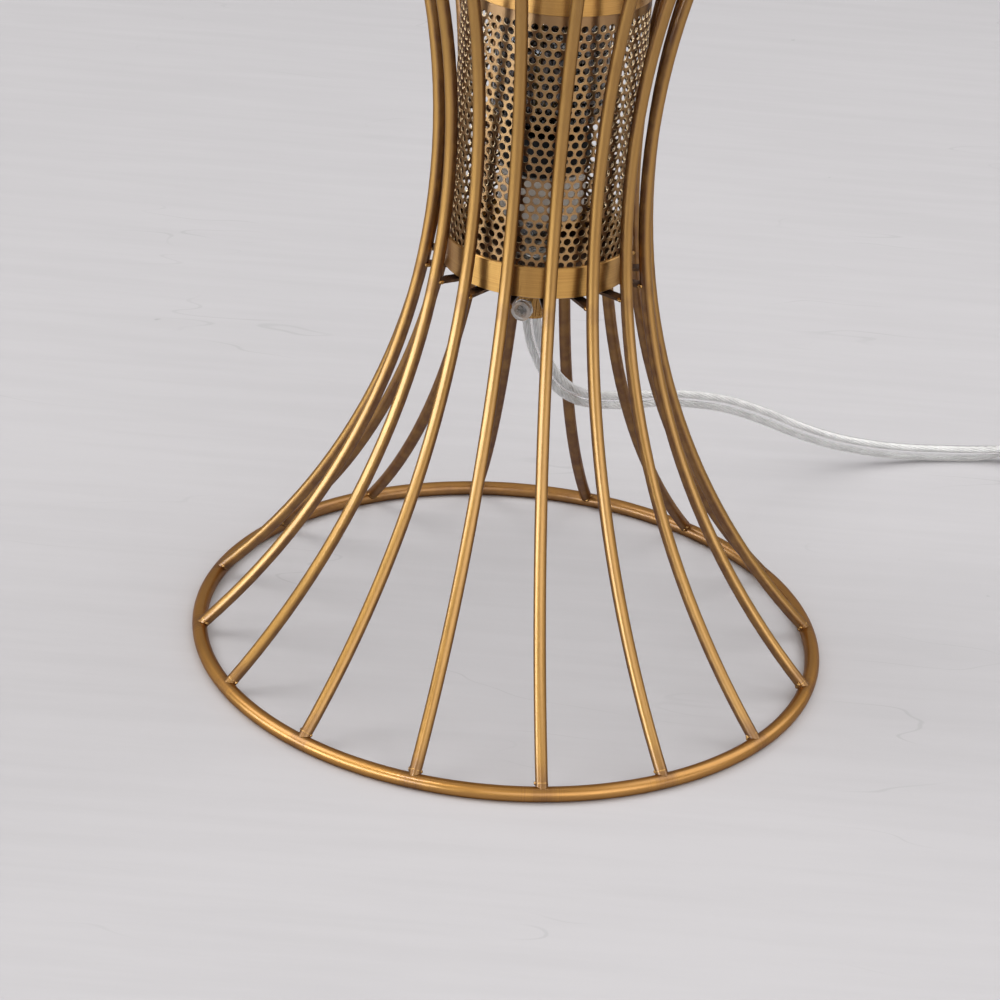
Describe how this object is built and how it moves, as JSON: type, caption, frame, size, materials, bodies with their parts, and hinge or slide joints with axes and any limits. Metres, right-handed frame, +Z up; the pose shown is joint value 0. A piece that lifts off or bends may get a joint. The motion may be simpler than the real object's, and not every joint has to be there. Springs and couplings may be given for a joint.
{
  "type": "crystal ball table lamp",
  "caption": "Table lamp: an hourglass cage of bent brass rods on a wire ring carries a clear crystal ball above a perforated light tube, lampholder, bulb and clear cord.",
  "frame": {"origin": "on the floor plane at the lamp's axis, the centre of the base ring's ground underside", "axes": "+Z up along the lamp's axis, -Y towards the front, +X to the right, the side to which the cord lies"},
  "size_m": [0.4785, 0.338, 0.448],
  "materials": {
    "antique_brass": "satin, lightly patinated, darker at the joints",
    "dark_bronze": "dark heat patina",
    "brushed_brass": "brushed round the band",
    "perforated_brass": "satin perforated sheet",
    "grip_brass": "polished, ribbed",
    "screw_brass": "polished",
    "nickel": "plated, semi-bright",
    "solder": "dull tinned",
    "filament": "yellow phosphor coating",
    "crystal": "polished clear solid glass",
    "bulb_glass": "smoky thin glass",
    "black_glass": "black glass insulator",
    "white_ceramic": "smooth glazed white",
    "clear_plastic": "clear moulded",
    "clear_cord": "clear sleeve over stranded wires",
    "white_plastic": "smooth moulded",
    "black_plastic": "smooth moulded"
  },
  "bodies": {
    "stand": {"base_ring": "antique_brass", "rod_01": "antique_brass", "rod_02": "antique_brass", "rod_03": "antique_brass", "rod_04": "antique_brass", "rod_05": "antique_brass", "rod_06": "antique_brass", "rod_07": "antique_brass", "rod_08": "antique_brass", "rod_09": "antique_brass", "rod_10": "antique_brass", "rod_11": "antique_brass", "rod_12": "antique_brass", "rod_13": "antique_brass", "rod_14": "antique_brass", "rod_15": "antique_brass", "rod_16": "antique_brass", "top_ring": "antique_brass", "bracket": "dark_bronze", "cup_floor": "dark_bronze", "band": "brushed_brass", "perforated_tube": "perforated_brass", "tube_rim": "brushed_brass", "nipple": "nickel", "lead_wires": "clear_cord", "locknut": "nickel", "holder_cap": "nickel", "terminal_screws": "screw_brass", "holder_body": "white_ceramic", "screw_shell": "nickel", "centre_contact": "screw_brass", "cord_grip": "grip_brass", "lamp_cord": "clear_cord", "switch_lower": "white_plastic", "switch_upper": "white_plastic", "switch_cord": "clear_cord", "cord_coil": "clear_cord", "plug_cord": "clear_cord", "plug_body": "white_plastic", "plug_blades": "nickel"},
    "ball": {"crystal_ball": "crystal"},
    "bulb_foot": {"bulb_insulator": "black_glass", "bulb_contact": "solder"},
    "bulb": {"bulb_cap": "nickel", "bulb_collar": "black_plastic", "bulb_glass": "bulb_glass", "bulb_stem": "bulb_glass", "filaments": "filament"},
    "grip_screw": {"set_screw": "clear_plastic"},
    "rocker": {"switch_rocker": "black_plastic"}
  },
  "joints": [
    {"name": "ball_lift", "type": "slide", "parent": "stand", "child": "ball", "axis": [0, 0, 1], "range_m": [0, 0.12]},
    {"name": "bulb_rise", "type": "slide", "parent": "stand", "child": "bulb_foot", "axis": [0, 0, 1], "range_m": [0, 0.01633]},
    {"name": "bulb_turn", "type": "hinge", "parent": "bulb_foot", "child": "bulb", "pos_m": [0, 0, 0.2], "axis": [0, 0, 1], "range_deg": [0, 1620]},
    {"name": "screw_turn", "type": "hinge", "parent": "stand", "child": "grip_screw", "pos_m": [0, 0, 0.15], "axis": [-0.342, -0.9397, 0], "range_deg": [0, 720]},
    {"name": "rocker_tilt", "type": "hinge", "parent": "stand", "child": "rocker", "pos_m": [0.274, 0.197, 0.0138], "axis": [0, 1, 0], "range_deg": [0, 14]}
  ],
  "couplings": [
    {"joint": "bulb_rise", "follows": "bulb_turn", "m_per_rad": 0.00057773}
  ]
}
